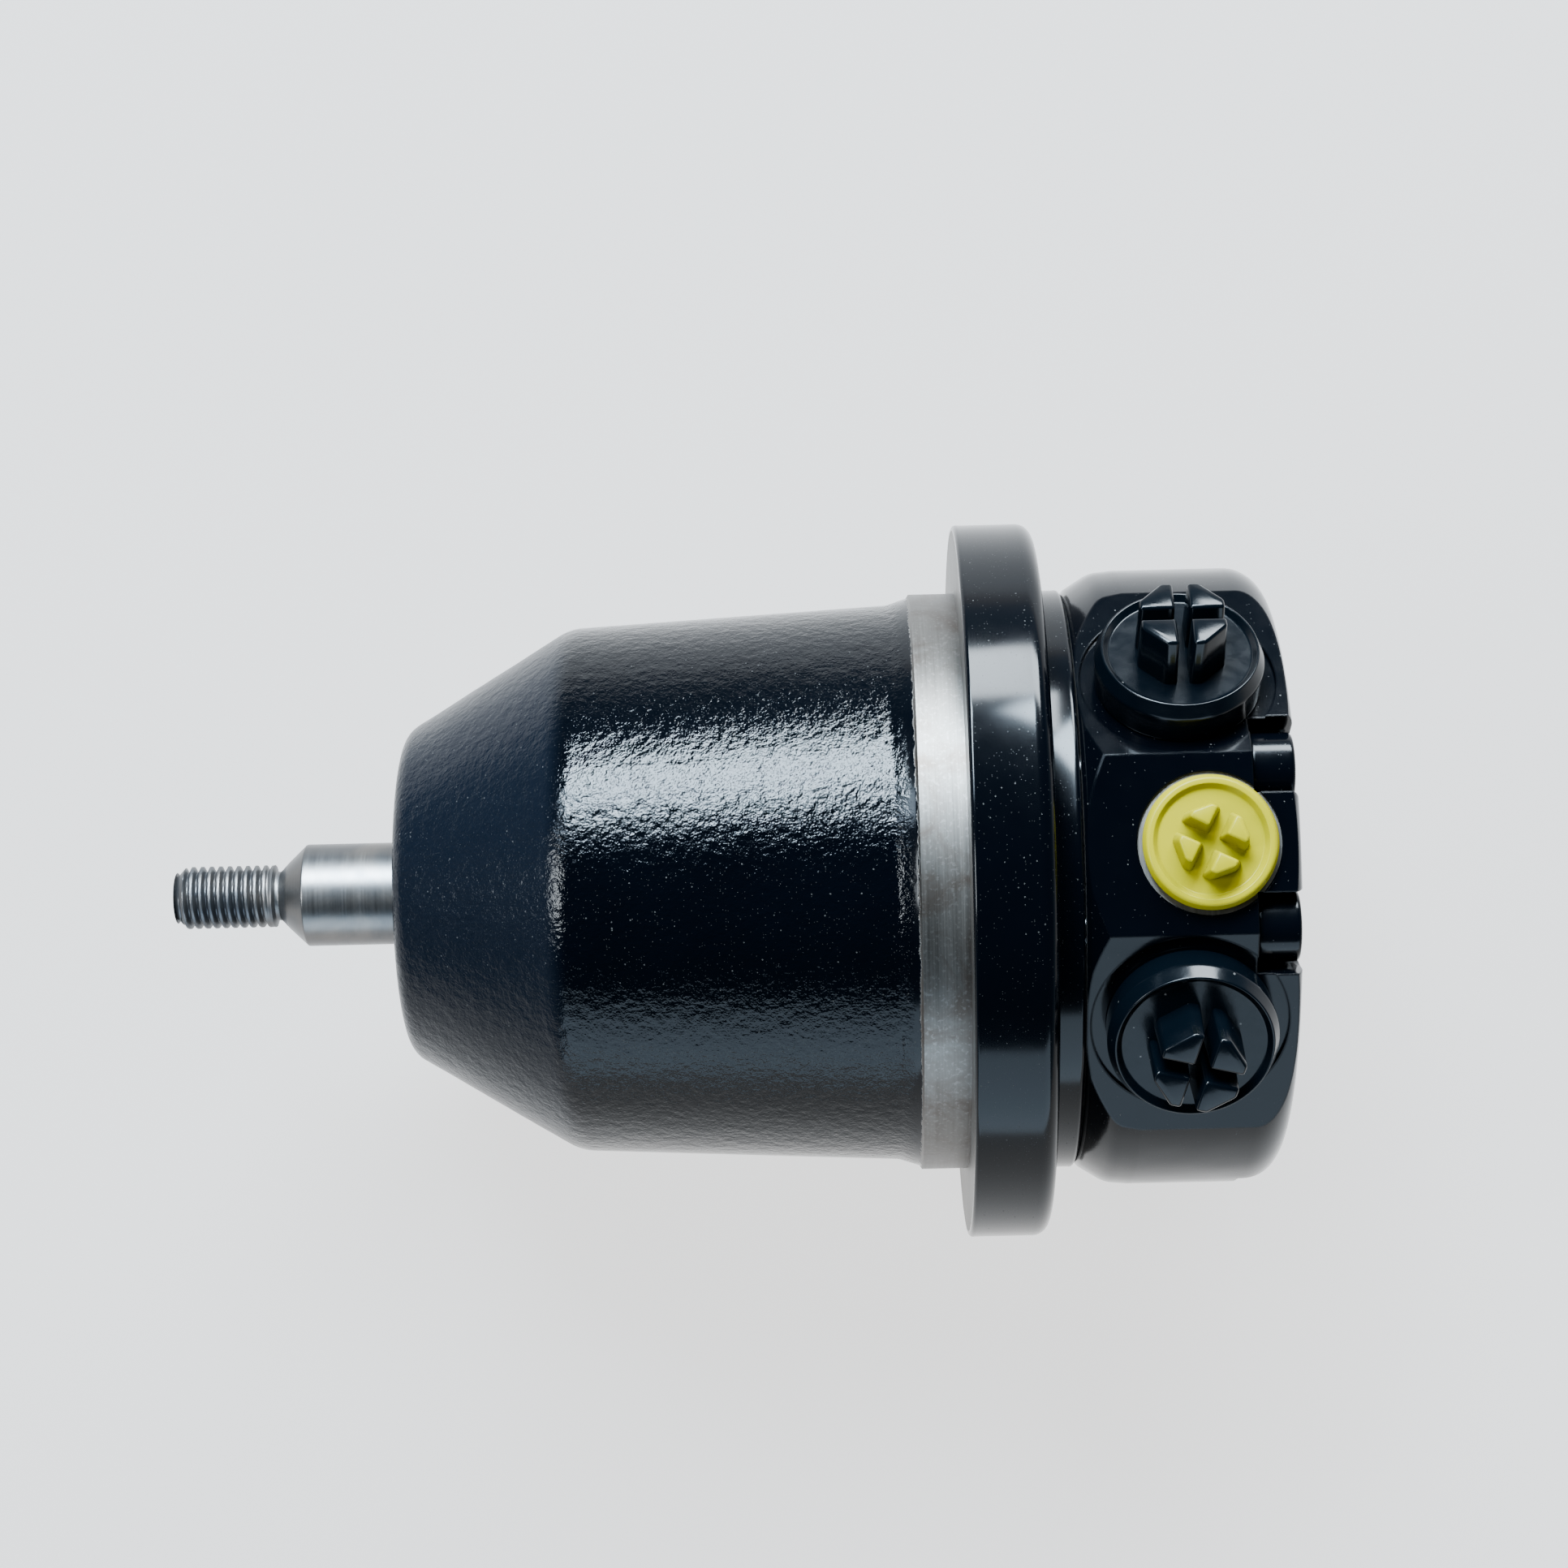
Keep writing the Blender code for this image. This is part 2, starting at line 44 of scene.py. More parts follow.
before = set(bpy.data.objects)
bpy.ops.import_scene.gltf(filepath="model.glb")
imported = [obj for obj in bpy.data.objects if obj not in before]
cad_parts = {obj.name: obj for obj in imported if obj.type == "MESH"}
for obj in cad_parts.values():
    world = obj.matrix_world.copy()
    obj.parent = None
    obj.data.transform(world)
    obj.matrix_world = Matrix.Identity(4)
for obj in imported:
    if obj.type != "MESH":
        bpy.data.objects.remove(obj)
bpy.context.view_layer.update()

# ---- the CAD's driving sizes ------------------------------------------------------------------------------
NOSE_X, NOSE_R = -105.3, 30.0
CONE_END_X, CONE_END_R = -73.3, 50.3
BODY_END_X, BODY_END_R = -12.7, 53.1
PILOT_R, PILOT_X = 55.0, -8.5
FLANGE_R, FLANGE_T = 68.0, 14.9
STEP_R, JOINT_X = 55.2, 20.1
SEAL_BORE_R, SEAL_END_X = 20.0, -94.5
BEARING_BORE_R, BEARING_X = 26.0, (-92.0, -76.0)
CAVITY_R, GAP = 40.0, 0.3
COVER_R, REAR_X = 58.6, 58.6
PORT_ANGLE, PORT_X, PORT_FACE, PORT_SPOT_R = 34.8, 38.7, 54.2, 17.6
DRAIN_X, PAD_Z, SPIGOT_X = 42.2, 54.8, 14.0
SCREW_R = 48.1
SCREW_ANGLES = (16.9, 90.0, 163.1, -163.1, -90.0, -16.9)
SCREW_SEAT_X, HEAD_R, HEAD_L = 50.3, 6.5, 7.9
SWASH_DEG, SWASH_X = 15.0, -63.0
PITCH_R, PISTONS, PISTON_R = 25.5, 9, 6.1
BLOCK_X, BLOCK_R = (-24.0, 9.7), 36.5
SOLE_X = -46.7
SHAFT_R, THREAD_R, THREAD_PITCH = 9.8, 6.0, 1.75

cutters = []


# ---- camera ------------------------------------------------------------------------------------------------
def camera():
    """Looks down on the drain port, the shaft to the left and rising 1.35 degrees to the right."""
    data = bpy.data.cameras.new("camera")
    data.sensor_width = 36.0
    data.lens = 36.0 * 4000.0 / 1932.0
    data.clip_start = 0.05
    obj = bpy.data.objects.new("camera", data)
    bpy.context.scene.collection.objects.link(obj)
    right = Vector((0.999576, -0.021645, -0.019486))
    up = Vector((0.02399, 0.991287, 0.129517))
    back = right.cross(up).normalized()
    up = back.cross(right).normalized()
    turn = Matrix((right.normalized(), up, back)).transposed().to_4x4()
    obj.matrix_world = Matrix.Translation((-0.022788, -0.062075, 0.62191)) @ turn
    bpy.context.scene.camera = obj


camera()


# ---- node helpers ------------------------------------------------------------------------------------------
class Nodes:
    """Small builder for a material's node tree."""

    def __init__(self, name):
        self.material = bpy.data.materials.new(name)
        self.material.use_nodes = True
        self.tree = self.material.node_tree
        self.shader = self.tree.nodes["Principled BSDF"]
        self.place = self.tree.nodes.new("ShaderNodeTexCoord").outputs["Object"]
        self.bumps = None

    def add(self, kind, **values):
        node = self.tree.nodes.new(kind)
        for key, value in values.items():
            setattr(node, key, value)
        return node

    def link(self, a, b):
        self.tree.links.new(a, b)

    def math(self, operation, a, b=None, clamp=False):
        node = self.add("ShaderNodeMath", operation=operation, use_clamp=clamp)
        for slot, value in zip(node.inputs, (a, b)):
            if value is None:
                continue
            if isinstance(value, (int, float)):
                slot.default_value = value
            else:
                self.link(value, slot)
        return node.outputs[0]

    def axes(self):
        split = self.add("ShaderNodeSeparateXYZ")
        self.link(self.place, split.inputs[0])
        return split.outputs

    def scaled(self, x, y, z, vector=None):
        node = self.add("ShaderNodeMapping")
        node.inputs["Scale"].default_value = (x, y, z)
        self.link(vector or self.place, node.inputs["Vector"])
        return node.outputs[0]

    def noise(self, scale, detail=2.0, roughness=0.5, vector=None, distortion=0.0):
        node = self.add("ShaderNodeTexNoise")
        node.inputs["Scale"].default_value = scale
        node.inputs["Detail"].default_value = detail
        node.inputs["Roughness"].default_value = roughness
        node.inputs["Distortion"].default_value = distortion
        self.link(vector or self.place, node.inputs["Vector"])
        return node.outputs[0]

    def cells(self, scale, randomness=1.0, feature="F1"):
        node = self.add("ShaderNodeTexVoronoi", feature=feature)
        node.inputs["Scale"].default_value = scale
        node.inputs["Randomness"].default_value = randomness
        self.link(self.place, node.inputs["Vector"])
        return node

    def ramp(self, value, stops):
        node = self.add("ShaderNodeValToRGB")
        ramp = node.color_ramp
        while len(ramp.elements) < len(stops):
            ramp.elements.new(0.5)
        for element, (spot, colour) in zip(ramp.elements, stops):
            element.position = spot
            element.color = (*colour, 1.0) if isinstance(colour, tuple) else (colour, colour, colour, 1.0)
        self.link(value, node.inputs[0])
        return node.outputs[0]

    def mix(self, factor, a, b):
        node = self.add("ShaderNodeMix", data_type="RGBA")
        for slot, value in ((node.inputs["Factor"], factor), (node.inputs["A"], a), (node.inputs["B"], b)):
            pass
        slots = [s for s in node.inputs if s.type == "RGBA"]
        if isinstance(factor, (int, float)):
            node.inputs[0].default_value = factor
        else:
            self.link(factor, node.inputs[0])
        for slot, value in zip(slots, (a, b)):
            if isinstance(value, tuple):
                slot.default_value = (*value, 1.0)
            else:
                self.link(value, slot)
        return [s for s in node.outputs if s.type == "RGBA"][0]

    def bump(self, height, distance_mm, strength=1.0):
        node = self.add("ShaderNodeBump")
        node.inputs["Strength"].default_value = strength
        node.inputs["Distance"].default_value = distance_mm * MM
        self.link(height, node.inputs["Height"])
        if self.bumps is not None:
            self.link(self.bumps, node.inputs["Normal"])
        self.bumps = node.outputs[0]

    def soft_edges(self, radius_mm):
        node = self.add("ShaderNodeBevel", samples=4)
        node.inputs["Radius"].default_value = radius_mm * MM
        if self.bumps is not None:
            self.link(self.bumps, node.inputs["Normal"])
        self.bumps = node.outputs[0]

    def set(self, **values):
        for key, value in values.items():
            slot = self.shader.inputs[key.replace("_", " ")]
            if isinstance(value, (int, float)):
                slot.default_value = value
            elif isinstance(value, tuple):
                slot.default_value = (*value, 1.0)
            else:
                self.link(value, slot)

    def done(self):
        if self.bumps is not None:
            self.link(self.bumps, self.shader.inputs["Normal"])
        return self.material


def dust(n, scale, size, amount):
    """Mask of sparse small specks."""
    cell = n.cells(scale)
    near = n.math("LESS_THAN", cell.outputs["Distance"], size)
    split = n.add("ShaderNodeSeparateColor")
    n.link(cell.outputs["Color"], split.inputs[0])
    rare = n.math("GREATER_THAN", split.outputs[0], 1.0 - amount)
    return n.math("MULTIPLY", near, rare)


def paint(name, base, roughness, peel, waves, edges, speck, cast=0.0, shine=0.22):
    """Gloss black enamel: orange peel, slow waves, dust, and a rough casting below where cast is given."""
    n = Nodes(name)
    tone = n.noise(60.0, 3.0)
    colour = n.mix(tone, tuple(c * 0.75 for c in base), tuple(c * 1.3 for c in base))
    specks = dust(n, 900.0, 0.13, speck)
    fine = dust(n, 2300.0, 0.2, speck)
    both = n.math("MAXIMUM", specks, n.math("MULTIPLY", fine, 0.5))
    colour = n.mix(n.math("MULTIPLY", both, 0.5), colour, (0.06, 0.058, 0.053))
    rough = n.math("ADD", n.math("MULTIPLY", n.noise(220.0, 2.0), 0.10), roughness - 0.05)
    rough = n.math("MAXIMUM", rough, n.math("MULTIPLY", both, 0.6))
    if edges:
        n.soft_edges(edges)
    if waves:
        n.bump(n.noise(70.0, 1.0), waves, 1.0)
    if cast:
        n.bump(n.noise(420.0, 1.0, 0.5), cast * 1.5, 1.0)
        n.bump(n.noise(1050.0, 2.0, 0.5), cast, 1.0)
        n.bump(n.noise(2600.0, 1.0, 0.5), cast * 0.22, 1.0)
    n.bump(n.noise(1900.0, 1.0), peel, 1.0)
    n.set(Base_Color=colour, Roughness=rough)
    n.shader.inputs["IOR"].default_value = 1.5
    n.shader.inputs["Specular IOR Level"].default_value = shine
    return n.done()


def casting_coat():
    """The housing's outside: rough cast body, duller nose, smooth flange, and a bare turned pilot with ragged paint."""
    n = Nodes("casting_coat")
    x, y, z = n.axes()
    radius = n.math("SQRT", n.math("ADD", n.math("MULTIPLY", y, y), n.math("MULTIPLY", z, z)))
    rag = n.math("SUBTRACT", n.noise(420.0, 4.0, 0.65), 0.5)
    slow = n.math("SUBTRACT", n.noise(48.0, 2.0), 0.5)
    drift = n.math("ADD", n.math("MULTIPLY", rag, 0.0016), n.math("MULTIPLY", slow, 0.0012))

    def step(value, low, high):
        node = n.add("ShaderNodeMapRange", interpolation_type="SMOOTHSTEP")
        node.inputs["From Min"].default_value = low
        node.inputs["From Max"].default_value = high
        n.link(value, node.inputs["Value"])
        return node.outputs[0]

    past = step(n.math("ADD", x, drift), -0.00905, -0.00885)
    before = n.math("SUBTRACT", 1.0, step(n.math("ADD", x, n.math("MULTIPLY", drift, 0.3)), 0.00035, 0.0005))
    inside = n.math("SUBTRACT", 1.0, step(n.math("ADD", radius, n.math("MULTIPLY", drift, 0.7)), 0.0668, 0.0670))
    bare = n.math("MULTIPLY", n.math("MULTIPLY", past, before), inside)
    cast = n.math("SUBTRACT", 1.0, step(n.math("ADD", x, n.math("MULTIPLY", drift, 1.5)), -0.0125, -0.0095))
    nose = n.math("SUBTRACT", 1.0, step(x, -0.0760, -0.0715))

    tone = n.noise(60.0, 3.0)
    coat = n.mix(tone, tuple(c * 0.75 for c in BLACK), tuple(c * 1.3 for c in BLACK))
    coat = n.mix(nose, coat, tuple(c * 3.5 for c in BLACK))
    specks = dust(n, 900.0, 0.13, 0.14)
    fine = dust(n, 2300.0, 0.2, 0.20)
    both = n.math("MAXIMUM", specks, n.math("MULTIPLY", fine, 0.5))
    coat = n.mix(n.math("MULTIPLY", both, 0.26), coat, (0.06, 0.058, 0.053))
    coat_rough = n.math("ADD", n.math("MULTIPLY", n.noise(220.0, 2.0), 0.06), 0.06)
    coat_rough = n.math("ADD", coat_rough, n.math("MULTIPLY", nose, 0.16))
    coat_rough = n.math("ADD", coat_rough, n.math("MULTIPLY", n.math("SUBTRACT", 1.0, cast), 0.045))
    coat_rough = n.math("MAXIMUM", coat_rough, n.math("MULTIPLY", both, 0.6))

    lines = n.noise(1.0, 2.0, 0.7, vector=n.scaled(2600.0, 12.0, 12.0))
    broad = n.noise(1.0, 2.0, 0.6, vector=n.scaled(570.0, 25.0, 25.0))
    shade = n.math("ADD", n.math("MULTIPLY", lines, 0.5), n.math("MULTIPLY", broad, 0.5))
    metal = n.mix(shade, (0.038, 0.034, 0.030), (0.13, 0.122, 0.112))
    stains = n.ramp(n.noise(90.0, 5.0, 0.65, distortion=0.8), [(0.46, 0.0), (0.66, 1.0)])
    metal = n.mix(n.math("MULTIPLY", stains, 0.6), metal, (0.045, 0.031, 0.023))
    grit = n.ramp(n.noise(1500.0, 2.0), [(0.56, 0.0), (0.68, 1.0)])
    metal = n.mix(n.math("MULTIPLY", grit, 0.22), metal, (0.20, 0.19, 0.18))
    metal_rough = n.math("ADD", n.math("MULTIPLY", shade, 0.2), 0.3)

    colour = n.mix(bare, coat, metal)
    rough = n.math("ADD", n.math("MULTIPLY", bare, metal_rough),
                   n.math("MULTIPLY", n.math("SUBTRACT", 1.0, bare), coat_rough))

    painted = n.math("SUBTRACT", 1.0, bare)
    n.bump(painted, 0.05, 1.0)
    n.bump(n.math("MULTIPLY", n.noise(45.0, 1.0), painted), 0.10, 1.0)
    n.bump(n.math("MULTIPLY", n.noise(430.0, 1.0, 0.5), cast), 0.16, 1.0)
    n.bump(n.math("MULTIPLY", n.noise(1150.0, 2.0, 0.6), cast), 0.12, 1.0)
    n.bump(n.math("MULTIPLY", n.noise(2600.0, 1.0, 0.5), cast), 0.04, 1.0)
    n.bump(n.math("MULTIPLY", lines, bare), 0.012, 1.0)
    n.set(Base_Color=colour, Roughness=rough, Metallic=bare)
    n.shader.inputs["IOR"].default_value = 1.5
    n.shader.inputs["Specular IOR Level"].default_value = 0.11
    return n.done()


def turned_metal(name, dark, light, roughness, line, stain=0.25, along=2600.0):
    """Bare metal with fine lathe lines round the X axis and a little staining."""
    n = Nodes(name)
    lines = n.noise(1.0, 2.0, 0.7, vector=n.scaled(along, 12.0, 12.0))
    broad = n.noise(1.0, 2.0, 0.6, vector=n.scaled(along * 0.22, 25.0, 25.0))
    stains = n.noise(55.0, 4.0, 0.6, distortion=0.6)
    shade = n.math("ADD", n.math("MULTIPLY", lines, 0.55), n.math("MULTIPLY", broad, 0.45))
    colour = n.mix(shade, dark, light)
    colour = n.mix(n.math("MULTIPLY", n.ramp(stains, [(0.45, 0.0), (0.75, 1.0)]), stain), colour, (0.34, 0.28, 0.22))
    rough = n.math("ADD", n.math("MULTIPLY", shade, 0.22), roughness - 0.08)
    n.bump(lines, line, 1.0)
    n.bump(broad, line * 1.6, 1.0)
    n.set(Base_Color=colour, Roughness=rough, Metallic=1.0)
    return n.done()


def plastic(name, base, roughness, speck, scatter=0.0, edges=0.0, shine=0.5):
    n = Nodes(name)
    tone = n.noise(90.0, 2.0)
    colour = n.mix(tone, tuple(c * 0.9 for c in base), tuple(min(1.0, c * 1.08) for c in base))
    specks = dust(n, 750.0, 0.18, speck)
    colour = n.mix(n.math("MULTIPLY", specks, 0.55), colour, (0.07, 0.067, 0.062))
    rough = n.math("ADD", n.math("MULTIPLY", n.noise(400.0, 2.0), 0.12), roughness - 0.06)
    if edges:
        n.soft_edges(edges)
    n.bump(n.noise(900.0, 2.0), 0.012, 1.0)
    n.bump(n.noise(160.0, 1.0), 0.06, 1.0)
    n.set(Base_Color=colour, Roughness=rough)
    n.shader.inputs["Specular IOR Level"].default_value = shine
    if scatter:
        n.set(Subsurface_Weight=scatter)
        n.shader.inputs["Subsurface Radius"].default_value = (0.0015, 0.0012, 0.0003)
        n.shader.inputs["Subsurface Scale"].default_value = 1.0
    return n.done()


BLACK = (0.0002, 0.0004, 0.0008)
COAT = casting_coat()
COVER_PAINT = paint("cover_black_paint", BLACK, 0.12, 0.004, 0.22, 0.55, 0.05, shine=0.11)
SCREW_PAINT = paint("screw_black_paint", BLACK, 0.16, 0.004, 0.10, 0.35, 0.08, shine=0.11)
PILOT_METAL = turned_metal("pilot_metal", (0.06, 0.053, 0.046), (0.18, 0.17, 0.155), 0.36, 0.012, 0.5)
BORE_METAL = turned_metal("bored_iron", (0.08, 0.077, 0.073), (0.16, 0.153, 0.147), 0.42, 0.012, 0.3)
SHAFT_METAL = turned_metal("shaft_steel", (0.062, 0.062, 0.063), (0.092, 0.091, 0.091), 0.30, 0.0012, 0.2, 3200.0)
THREAD_METAL = turned_metal("thread_steel", (0.036, 0.039, 0.043), (0.078, 0.081, 0.087), 0.42, 0.004, 0.25)
BEARING_METAL = turned_metal("bearing_steel", (0.20, 0.20, 0.207), (0.29, 0.29, 0.30), 0.18, 0.003, 0.05, 5200.0)
IRON = turned_metal("machined_iron", (0.08, 0.077, 0.073), (0.16, 0.157, 0.15), 0.40, 0.012, 0.3)
BRONZE = turned_metal("bronze", (0.20, 0.113, 0.04), (0.32, 0.207, 0.08), 0.30, 0.008, 0.15)
BLACK_PLASTIC = plastic("black_plastic", (0.0003, 0.0008, 0.0014), 0.18, 0.03, shine=0.11)
YELLOW_PLASTIC = plastic("yellow_plastic", (0.150, 0.127, 0.0), 0.30, 0.0, shine=0.07)
RUBBER = plastic("rubber", (0.006, 0.006, 0.006), 0.62, 0.10)


# ---- shape helpers -----------------------------------------------------------------------------------------
def along(direction, origin=(0.0, 0.0, 0.0), side=(0.0, 1.0, 0.0)):
    z = Vector(direction).normalized()
    x = Vector(side)
    x = (x - z * x.dot(z)).normalized()
    y = z.cross(x)
    return Matrix.Translation(Vector(origin) * MM) @ Matrix((x, y, z)).transposed().to_4x4()


X_AXIS = along((1, 0, 0), side=(0, 0, 1))


def radial(degrees, x, side=(1, 0, 0)):
    a = math.radians(degrees)
    return along((0, math.sin(a), math.cos(a)), origin=(x, 0, 0), side=side)


def parallel(degrees, radius, x=0.0):
    a = math.radians(degrees)
    spot = (0, math.sin(a), math.cos(a))
    return along((1, 0, 0), origin=(x, radius * spot[1], radius * spot[2]), side=spot)


def fillet(points, radii, steps=5):
    """Rounds the corners of a line of (axis, radius) points; radii maps a point's number to its rounding."""
    count = len(points)
    made = []
    for number, here in enumerate(points):
        r = radii.get(number, 0.0)
        if not r:
            made.append(here)
            continue
        before, after = Vector(points[number - 1]), Vector(points[(number + 1) % count])
        corner = Vector(here)
        a, b = (before - corner), (after - corner)
        half = a.angle(b) / 2
        cut = min(r / math.tan(half), a.length * 0.49, b.length * 0.49)
        real = cut * math.tan(half)
        a.normalize(), b.normalize()
        centre = corner + (a + b).normalized() * (real / math.sin(half))
        start, end = corner + a * cut - centre, corner + b * cut - centre
        turn = start.angle_signed(end)
        for step in range(steps + 1):
            w = -turn * step / steps
            made.append(tuple(centre + Matrix.Rotation(w, 2) @ start))
    return made


def dense(points, longest, closed=True):
    """Splits long stretches so that a surface can carry fine relief."""
    made = []
    pairs = list(zip(points, points[1:] + points[:1])) if closed else list(zip(points, points[1:]))
    for (a, ra), (b, rb) in pairs:
        parts = max(1, math.ceil(math.hypot(b - a, rb - ra) / longest))
        made += [(a + (b - a) * k / parts, ra + (rb - ra) * k / parts) for k in range(parts)]
    if not closed:
        made.append(points[-1])
    return made


def held(points, reach=0.3):
    """Adds points close to the ends of long stretches, so that smooth shading stays true along them."""
    made = []
    for a, b in zip(points, points[1:] + points[:1]):
        made.append(a)
        length = math.hypot(b[0] - a[0], b[1] - a[1])
        if length > reach * 4 and (a[1] > 1e-9 or b[1] > 1e-9):
            for t in (reach / length, 1 - reach / length):
                made.append((a[0] + (b[0] - a[0]) * t, a[1] + (b[1] - a[1]) * t))
    return made


def lathe(outline, steps, place=X_AXIS, smooth=35.0, relief=None):
    """Mesh of a turned solid round the local Z axis of place, with its faces pointing out."""
    area = sum(a * rb - b * ra for (a, ra), (b, rb) in zip(outline, outline[1:] + outline[:1]))
    if area < 0:
        outline = outline[::-1]
    outline = held(outline)
    form = bmesh.new()
    rows = []
    for a, r in outline:
        if abs(r) < 1e-9:
            rows.append([form.verts.new((0, 0, a * MM))])
            continue
        row = []
        for k in range(steps):
            w = 2 * math.pi * k / steps
            da, dr = relief(a, r, w) if relief else (0.0, 0.0)
            row.append(form.verts.new(((r + dr) * math.cos(w) * MM, (r + dr) * math.sin(w) * MM, (a + da) * MM)))
        rows.append(row)
    closed = not (len(rows[0]) == 1 and len(rows[-1]) == 1)
    pairs = list(zip(rows, rows[1:])) + ([(rows[-1], rows[0])] if closed else [])
    for low, high in pairs:
        for k in range(steps):
            ring = [low[k % len(low)], high[k % len(high)], high[(k + 1) % len(high)], low[(k + 1) % len(low)]]
            face = []
            for v in ring:
                if v not in face:
                    face.append(v)
            if len(face) >= 3:
                form.faces.new(face)
    form.normal_update()
    if form.calc_volume(signed=True) < 0:
        bmesh.ops.reverse_faces(form, faces=form.faces)
    form.transform(place)
    mesh = bpy.data.meshes.new("turned")
    form.to_mesh(mesh)
    form.free()
    mesh.shade_smooth()
    mesh.set_sharp_from_angle(angle=math.radians(smooth))
    return mesh


def piece(name, mesh, material):
    obj = bpy.data.objects.new(name, mesh)
    bpy.context.scene.collection.objects.link(obj)
    if material and not mesh.materials:
        mesh.materials.append(material)
    return obj


def solid(name, form, place=Matrix.Identity(4)):
    """Object from a bmesh, used as a cutter or as a part to be joined."""
    bmesh.ops.recalc_face_normals(form, faces=form.faces)
    form.transform(place)
    mesh = bpy.data.meshes.new(name)
    form.to_mesh(mesh)
    form.free()
    obj = piece(name, mesh, None)
    cutters.append(obj)
    return obj


def rod(radius, low, high, place, sides=48, top=None, turn=0.0, soft=0.0):
    form = bmesh.new()
    bmesh.ops.create_cone(form, cap_ends=True, segments=sides, radius1=radius * MM,
                          radius2=(radius if top is None else top) * MM, depth=(high - low) * MM,
                          matrix=Matrix.Translation((0, 0, (low + high) * 0.5 * MM)) @ Matrix.Rotation(turn, 4, "Z"))
    if soft:
        bmesh.ops.bevel(form, geom=list(form.edges), offset=soft * MM, segments=3, profile=0.5, affect="EDGES")
    return solid("rod", form, place)


def bar(low, high, place=Matrix.Identity(4)):
    form = bmesh.new()
    size = [(b - a) * MM for a, b in zip(low, high)]
    middle = [(a + b) * 0.5 * MM for a, b in zip(low, high)]
    bmesh.ops.create_cube(form, size=1.0, matrix=Matrix.Translation(middle) @ Matrix.Diagonal((*size, 1.0)))
    return solid("bar", form, place)


def turned_tool(outline, steps, place=X_AXIS):
    obj = piece("tool", lathe(outline, steps, place), None)
    cutters.append(obj)
    return obj


def boolean(target, tool, operation="DIFFERENCE"):
    made = target.modifiers.new("cut", "BOOLEAN")
    made.operation = operation
    made.solver = "EXACT"
    made.object = tool
    return target


def bake(obj, smooth=35.0):
    """Applies the modifiers and shades the result."""
    graph = bpy.context.evaluated_depsgraph_get()
    mesh = bpy.data.meshes.new_from_object(obj.evaluated_get(graph))
    obj.modifiers.clear()
    obj.data = mesh
    mesh.shade_smooth()
    mesh.set_sharp_from_angle(angle=math.radians(smooth))
    return obj


def stands_for(obj, node, body):
    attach(obj, body)
    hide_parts(node)
    return obj


def by_face(obj, materials, choose):
    """Gives each face one of the materials."""
    obj.data.materials.clear()
    for material in materials:
        obj.data.materials.append(material)
    for face in obj.data.polygons:
        c = face.center / MM
        face.material_index = choose(c.x, math.hypot(c.y, c.z), c, face.normal)


# ---- housing -----------------------------------------------------------------------------------------------
def housing():
    outer = [
        (NOSE_X, SEAL_BORE_R + 1.0),
        (NOSE_X, NOSE_R + 0.9),
        (CONE_END_X + 0.2, CONE_END_R - 0.1),
        (BODY_END_X, BODY_END_R),
        (PILOT_X - 0.4, PILOT_R - 0.7),
        (PILOT_X, PILOT_R),
        (0.0, PILOT_R), (0.0, FLANGE_R), (FLANGE_T, FLANGE_R), (FLANGE_T, STEP_R),
        (JOINT_X - 0.0, STEP_R), (JOINT_X, STEP_R - 2.0),
    ]
    outer = fillet(outer, {1: 5.0, 2: 10.0, 3: 4.0, 4: 0.5, 7: 0.8, 8: 2.9, 9: 0.5, 10: 0.8}, 6)
    inner = [
        (JOINT_X, CAVITY_R), (BEARING_X[1], CAVITY_R), (BEARING_X[1], BEARING_BORE_R), (BEARING_X[0], BEARING_BORE_R),
        (BEARING_X[0], 16.0), (SEAL_END_X, 16.0), (SEAL_END_X, SEAL_BORE_R), (-102.7, SEAL_BORE_R),
        (-102.7, SEAL_BORE_R + 1.3), (-104.0, SEAL_BORE_R + 1.3), (-104.0, SEAL_BORE_R), (NOSE_X + 1.0, SEAL_BORE_R),
    ]
    cut = next(i for i, p in enumerate(outer) if p[0] > PILOT_X - 6)
    outline = dense(outer[:cut], 1.1, closed=False) + outer[cut:] + inner

    def relief(a, r, w):
        """Shallow unevenness of the sand casting, and the parting line on the flange rim."""
        if r < 24 or a > PILOT_X - 3:
            if a > -0.5 and r > STEP_R - 0.6 and 0.9 < a < JOINT_X - 0.8:
                seam = abs(w - 0.05)
                return 0.0, -0.05 + 0.05 * math.exp(-(seam / 0.006) ** 2)
            return 0.0, 0.0
        fade = min(1.0, (PILOT_X - 3 - a) / 6.0) * min(1.0, max(0.0, (r - 27.0) / 4.0))
        p = Vector((a, r * math.cos(w), r * math.sin(w)))
        low = noise.noise(p * 0.09) * 0.10
        mid = noise.noise(p * 0.45) * 0.035
        return 0.0, (low + mid - 0.13) * fade

    obj = piece("housing_casting", lathe(outline, 288, relief=relief), None)
    for degrees in SCREW_ANGLES:
        boolean(obj, rod(4.4, 3.5, JOINT_X + 2.0, parallel(degrees, SCREW_R), 24))
    bake(obj, 32)

    def choose(x, r, c, normal):
        outward = (normal.y * c.y + normal.z * c.z) / max(r, 1.0)
        if outward < -0.3 or (r < SEAL_BORE_R + 1.4 and x > NOSE_X + 0.6) or (r < CAVITY_R + 4.5 and x > BEARING_X[0] and
                                                                             abs(normal.x) > 0.95):
            return 1
        return 0

    by_face(obj, [COAT, BORE_METAL], choose)
    stands_for(obj, "housing", "casing")


